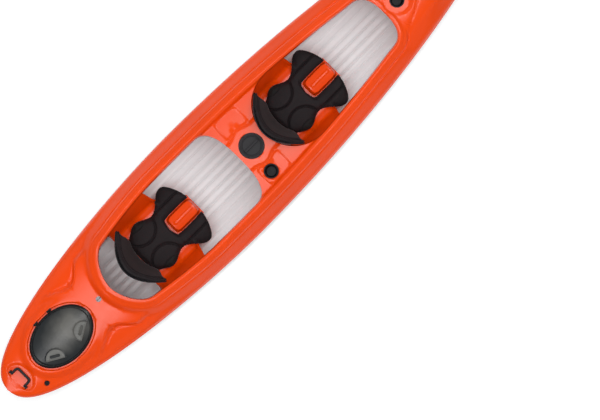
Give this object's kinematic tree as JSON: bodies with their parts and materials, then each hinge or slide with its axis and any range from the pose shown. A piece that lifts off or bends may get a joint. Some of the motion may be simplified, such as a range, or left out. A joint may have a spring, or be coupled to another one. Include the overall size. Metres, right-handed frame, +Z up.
{
  "type": "tandem kayak",
  "caption": "Sit-inside tandem kayak with a white hull, an orange deck, padded seats with folding backrests, sliding foot braces, storage hatches, carry handles and a drain plug.",
  "frame": {"origin": "middle of the boat's length and beam, on the ground under the flat keel", "axes": "+X to the bow, +Y to port, +Z up"},
  "size_m": [4.1, 0.7776, 0.406],
  "materials": {
    "hull_white": "glossy thermoformed sheet, white",
    "deck_orange": "glossy thermoformed sheet, orange",
    "black_plastic": "fine-textured moulded nylon, black",
    "seat_fabric": "woven black fabric over foam, with sewn channels",
    "smoky_plastic": "glossy smoke-grey moulded plastic",
    "seal_rubber": "soft black rubber",
    "steel": "plain stainless steel",
    "foam": "closed-cell foam, off-white"
  },
  "bodies": {
    "kayak": {"hull_shell": "hull_white", "deck_shell": "deck_orange", "rear_seat_pan": "deck_orange", "front_seat_pan": "deck_orange", "rear_seat_support": "foam", "front_seat_support": "foam", "rear_seat_cushion": "seat_fabric", "front_seat_cushion": "seat_fabric", "rear_seat_brackets": "black_plastic", "front_seat_brackets": "black_plastic", "rear_hinge_pins": "steel", "front_hinge_pins": "steel", "rear_port_rail": "black_plastic", "rear_starboard_rail": "black_plastic", "front_port_rail": "black_plastic", "front_starboard_rail": "black_plastic", "foot_brace_screws": "steel", "day_hatch_ring": "black_plastic", "day_hatch_screws": "steel", "console_cup_holder": "black_plastic", "dash_cup_holder": "black_plastic", "stern_hinge_ears": "smoky_plastic", "stern_hinge_pins": "steel", "bow_handle_brackets": "black_plastic", "stern_handle_brackets": "black_plastic", "drain_seat": "black_plastic", "deck_eye": "steel", "bow_foam_block": "foam", "stern_foam_block": "foam"},
    "rear_backrest": {"rear_backrest_shell": "black_plastic", "rear_backrest_pad": "seat_fabric", "rear_backrest_hinges": "black_plastic"},
    "front_backrest": {"front_backrest_shell": "black_plastic", "front_backrest_pad": "seat_fabric", "front_backrest_hinges": "black_plastic"},
    "rear_port_pedal": {"rear_port_pedal": "black_plastic"},
    "rear_starboard_pedal": {"rear_starboard_pedal": "black_plastic"},
    "front_port_pedal": {"front_port_pedal": "black_plastic"},
    "front_starboard_pedal": {"front_starboard_pedal": "black_plastic"},
    "stern_hatch": {"stern_hatch_lid": "smoky_plastic", "stern_hatch_gasket": "seal_rubber", "stern_hinge_lugs": "smoky_plastic", "stern_latch_mounts": "smoky_plastic"},
    "stern_latch_aft": {"stern_latch_aft": "smoky_plastic"},
    "stern_latch_fore": {"stern_latch_fore": "smoky_plastic"},
    "day_hatch_cap": {"day_hatch_cap": "black_plastic", "day_hatch_seal": "seal_rubber"},
    "bow_hatch": {"bow_hatch_lid": "smoky_plastic", "bow_hatch_gasket": "seal_rubber"},
    "bow_handle": {"bow_handle": "black_plastic"},
    "stern_handle": {"stern_handle": "black_plastic"},
    "drain_plug": {"drain_plug": "black_plastic"}
  },
  "joints": [
    {"name": "rear_backrest_fold", "type": "hinge", "parent": "kayak", "child": "rear_backrest", "pos_m": [-0.98983, 0, 0.158], "axis": [0, 1, 0], "range_deg": [0, 60]},
    {"name": "front_backrest_fold", "type": "hinge", "parent": "kayak", "child": "front_backrest", "pos_m": [0.13617, 0, 0.158], "axis": [0, 1, 0], "range_deg": [0, 60]},
    {"name": "rear_port_pedal_slide", "type": "slide", "parent": "kayak", "child": "rear_port_pedal", "axis": [0.9992, -0.0403, 0], "range_m": [-0.165, 0.165]},
    {"name": "rear_starboard_pedal_slide", "type": "slide", "parent": "kayak", "child": "rear_starboard_pedal", "axis": [0.9992, 0.0403, 0], "range_m": [-0.165, 0.165]},
    {"name": "front_port_pedal_slide", "type": "slide", "parent": "kayak", "child": "front_port_pedal", "axis": [0.9812, -0.1868, 0.0478], "range_m": [-0.13, 0.13]},
    {"name": "front_starboard_pedal_slide", "type": "slide", "parent": "kayak", "child": "front_starboard_pedal", "axis": [0.9812, 0.1868, 0.0478], "range_m": [-0.13, 0.13]},
    {"name": "stern_hatch_open", "type": "hinge", "parent": "kayak", "child": "stern_hatch", "pos_m": [-1.612, 0.15599, 0.306], "axis": [-1, 0, 0], "range_deg": [0, 110]},
    {"name": "stern_latch_aft_flip", "type": "hinge", "parent": "stern_hatch", "child": "stern_latch_aft", "pos_m": [-1.72625, -0.0699, 0.323], "axis": [0.866, -0.5, 0], "range_deg": [0, 85]},
    {"name": "stern_latch_fore_flip", "type": "hinge", "parent": "stern_hatch", "child": "stern_latch_fore", "pos_m": [-1.49775, -0.0699, 0.323], "axis": [0.866, 0.5, 0], "range_deg": [0, 85]},
    {"name": "day_hatch_turn", "type": "hinge", "parent": "kayak", "child": "day_hatch_cap", "pos_m": [-0.06, 0, 0.31], "axis": [0, 0, 1], "range_deg": [0, 90]},
    {"name": "bow_hatch_lift", "type": "slide", "parent": "kayak", "child": "bow_hatch", "axis": [0, 0, 1], "range_m": [0, 0.12]},
    {"name": "bow_handle_lift", "type": "hinge", "parent": "kayak", "child": "bow_handle", "pos_m": [1.922, 0, 0.34157], "axis": [0, 1, 0], "range_deg": [0, 100]},
    {"name": "stern_handle_lift", "type": "hinge", "parent": "kayak", "child": "stern_handle", "pos_m": [-1.965, 0, 0.29542], "axis": [0, -1, 0], "range_deg": [0, 100]},
    {"name": "drain_plug_pull", "type": "slide", "parent": "kayak", "child": "drain_plug", "axis": [0, -0.5299, 0.848], "range_m": [0, 0.03]}
  ]
}
